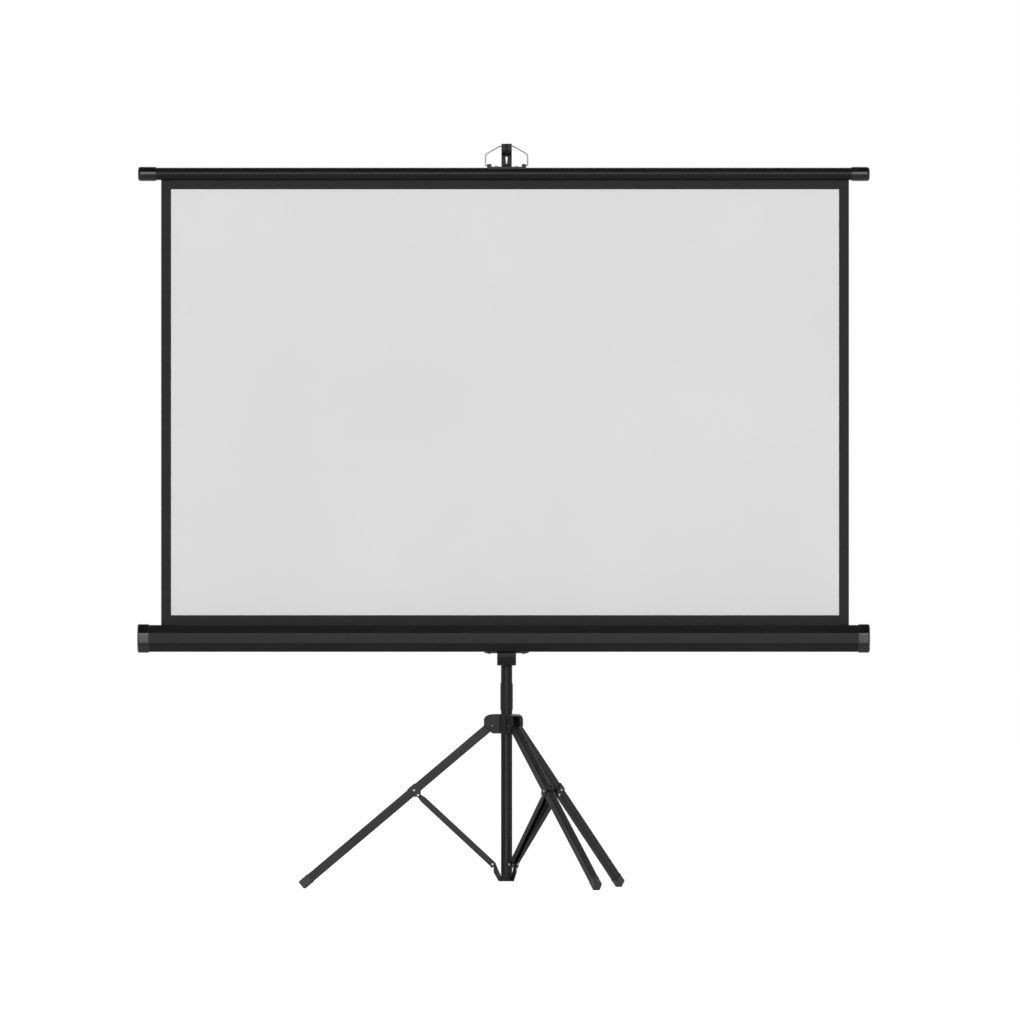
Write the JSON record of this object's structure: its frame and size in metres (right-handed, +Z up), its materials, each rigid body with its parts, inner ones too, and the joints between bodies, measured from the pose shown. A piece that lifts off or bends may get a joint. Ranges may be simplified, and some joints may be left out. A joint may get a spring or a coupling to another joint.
{
  "type": "tripod projection screen",
  "caption": "Portable roll-up projection screen: a spring-roller casing, white cloth with black borders, a top bar hung from a hook on a telescopic mast, and a folding tripod base.",
  "frame": {"origin": "on the floor, under the middle of the whole outline at rest", "axes": "+Z up, the picture side faces -Y, +X to the right of a person who looks at the picture"},
  "size_m": [1.6922, 0.841, 1.7199],
  "materials": {
    "tube_paint": "satin black powder coat",
    "casing_paint": "fine-textured black paint",
    "black_plastic": "moulded black, fine grain",
    "gloss_plastic": "moulded black, semi-gloss",
    "foot_plastic": "soft dark grey",
    "bare_steel": "bright zinc plate",
    "inner_steel": "drawn steel",
    "white_cloth": "matt white coated cloth with black borders and back"
  },
  "bodies": {
    "base": {"centre_post": "inner_steel", "brace_spider": "black_plastic"},
    "mast": {"mast_tube": "tube_paint", "grip_sleeve": "black_plastic", "leg_hub": "black_plastic", "mast_collar": "black_plastic", "hub_pin_left": "bare_steel", "hub_pin_front": "bare_steel", "hub_pin_back": "bare_steel"},
    "mast_knob": {"mast_knob": "black_plastic"},
    "leg_left": {"leg_left": "tube_paint", "foot_left": "foot_plastic", "clip_left": "tube_paint", "clip_rivet_left": "bare_steel", "brace_pin_left": "bare_steel"},
    "leg_front": {"leg_front": "tube_paint", "foot_front": "foot_plastic", "clip_front": "tube_paint", "clip_rivet_front": "bare_steel", "brace_pin_front": "bare_steel"},
    "leg_back": {"leg_back": "tube_paint", "foot_back": "foot_plastic", "clip_back": "tube_paint", "clip_rivet_back": "bare_steel", "brace_pin_back": "bare_steel"},
    "brace_left": {"brace_left": "tube_paint", "spider_pin_left": "bare_steel"},
    "brace_front": {"brace_front": "tube_paint", "spider_pin_front": "bare_steel"},
    "brace_back": {"brace_back": "tube_paint", "spider_pin_back": "bare_steel"},
    "casing": {"casing_bracket": "black_plastic", "casing_screw_left": "bare_steel", "casing_screw_right": "bare_steel", "casing_shell": "casing_paint", "casing_cap_left": "gloss_plastic", "casing_cap_right": "gloss_plastic", "spring_shaft": "inner_steel", "idle_pin": "inner_steel", "screen_cloth": "white_cloth"},
    "bracket_knob": {"bracket_knob": "black_plastic"},
    "roller": {"roller_tube": "inner_steel", "cloth_roll": "white_cloth", "spring_plug": "black_plastic", "idle_plug": "black_plastic", "torsion_spring": "inner_steel"},
    "extension": {"extension_tube": "tube_paint", "hook_head": "black_plastic"},
    "bail": {"wire_bail": "bare_steel"},
    "top_bar": {"top_bar": "casing_paint", "hem_rod": "black_plastic", "bar_cap_left": "gloss_plastic", "bar_cap_right": "gloss_plastic", "bail_plate": "tube_paint", "bail_screw_left": "bare_steel", "bail_screw_right": "bare_steel"}
  },
  "joints": [
    {"name": "tripod_fold", "type": "slide", "parent": "base", "child": "mast", "axis": [0, 0, 1], "range_m": [0, 0.1485]},
    {"name": "leg_left_fold", "type": "hinge", "parent": "mast", "child": "leg_left", "pos_m": [-0.02513, 0.01762, 0.3755], "axis": [-0.0663, -0.9978, 0], "range_deg": [0, 42]},
    {"name": "leg_front_fold", "type": "hinge", "parent": "mast", "child": "leg_front", "pos_m": [0.02093, -0.01321, 0.3755], "axis": [0.8973, 0.4415, 0], "range_deg": [0, 42]},
    {"name": "leg_back_fold", "type": "hinge", "parent": "mast", "child": "leg_back", "pos_m": [0.0246, 0.04209, 0.3755], "axis": [-0.831, 0.5563, 0], "range_deg": [0, 42]},
    {"name": "brace_left_fold", "type": "hinge", "parent": "leg_left", "child": "brace_left", "pos_m": [-0.19706, 0.02904, 0.21575], "axis": [-0.0663, -0.9978, 0], "range_deg": [-84, 0]},
    {"name": "brace_front_fold", "type": "hinge", "parent": "leg_front", "child": "brace_front", "pos_m": [0.09701, -0.16783, 0.21575], "axis": [0.8973, 0.4415, 0], "range_deg": [-84, 0]},
    {"name": "brace_back_fold", "type": "hinge", "parent": "leg_back", "child": "brace_back", "pos_m": [0.12046, 0.18528, 0.21575], "axis": [-0.831, 0.5563, 0], "range_deg": [-84, 0]},
    {"name": "mast_extend", "type": "slide", "parent": "mast", "child": "extension", "axis": [0, 0, 1], "range_m": [-0.62, 0], "deforming": ["screen_cloth"]},
    {"name": "mast_knob_turn", "type": "hinge", "parent": "mast", "child": "mast_knob", "pos_m": [0.0068, 0.04495, 1.0219], "axis": [0, 1, 0], "continuous": true},
    {"name": "case_height", "type": "slide", "parent": "mast", "child": "casing", "axis": [0, 0, 1], "range_m": [0, 0.35], "deforming": ["screen_cloth"]},
    {"name": "bracket_knob_turn", "type": "hinge", "parent": "casing", "child": "bracket_knob", "pos_m": [0.0068, 0.04112, 0.5687], "axis": [0, 1, 0], "continuous": true},
    {"name": "roller_spin", "type": "hinge", "parent": "casing", "child": "roller", "pos_m": [0.0032, -0.0421, 0.5777], "axis": [1, 0, 0], "range_deg": [-2225, 5]},
    {"name": "bail_lift", "type": "slide", "parent": "extension", "child": "bail", "axis": [0, 0, 1], "range_m": [0, 0.02]},
    {"name": "bar_swing", "type": "hinge", "parent": "bail", "child": "top_bar", "pos_m": [0.0068, -0.0255, 1.66896], "axis": [1, 0, 0], "range_deg": [-4, 4]}
  ],
  "couplings": [
    {"joint": "leg_left_fold", "follows": "tripod_fold", "rad_per_m": 4.935},
    {"joint": "leg_front_fold", "follows": "tripod_fold", "rad_per_m": 4.935},
    {"joint": "leg_back_fold", "follows": "tripod_fold", "rad_per_m": 4.935},
    {"joint": "brace_left_fold", "follows": "tripod_fold", "rad_per_m": -9.87},
    {"joint": "brace_front_fold", "follows": "tripod_fold", "rad_per_m": -9.87},
    {"joint": "brace_back_fold", "follows": "tripod_fold", "rad_per_m": -9.87},
    {"joint": "roller_spin", "follows": "mast_extend", "rad_per_m": 62.5}
  ]
}
